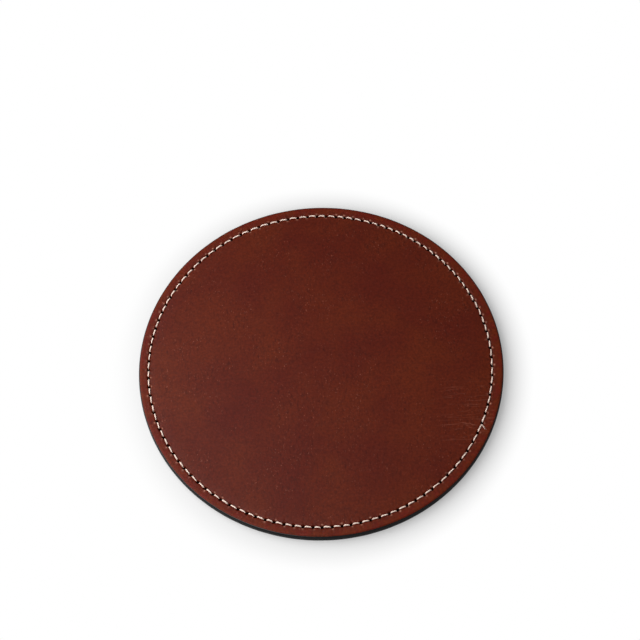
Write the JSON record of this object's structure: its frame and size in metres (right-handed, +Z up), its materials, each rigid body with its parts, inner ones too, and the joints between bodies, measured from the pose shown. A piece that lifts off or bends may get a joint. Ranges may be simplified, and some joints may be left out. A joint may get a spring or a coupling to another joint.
{
  "type": "drink coaster",
  "caption": "Round flat leather drink coaster: grain leather and suede discs glued to a stiffening board, lockstitched round the rim, with a painted edge.",
  "frame": {"origin": "middle of the disc on the plane that it rests on", "axes": "+Z up through the disc, from the suede to the grain leather, and -Y towards the front of the picture"},
  "size_m": [0.1, 0.1, 0.0037],
  "materials": {
    "grain_leather": "satin grain leather, reddish brown",
    "glue": "dried contact glue",
    "board": "leather fibre board",
    "suede": "napped suede split, dark brown",
    "edge_paint": "satin black edge paint",
    "thread": "waxed cream thread"
  },
  "bodies": {
    "root": {"top_leather": "grain_leather", "upper_glue_film": "glue", "core_board": "board", "lower_glue_film": "glue", "backing_leather": "suede", "edge_paint": "edge_paint", "needle_thread": "thread", "bobbin_thread": "thread"}
  },
  "joints": []
}
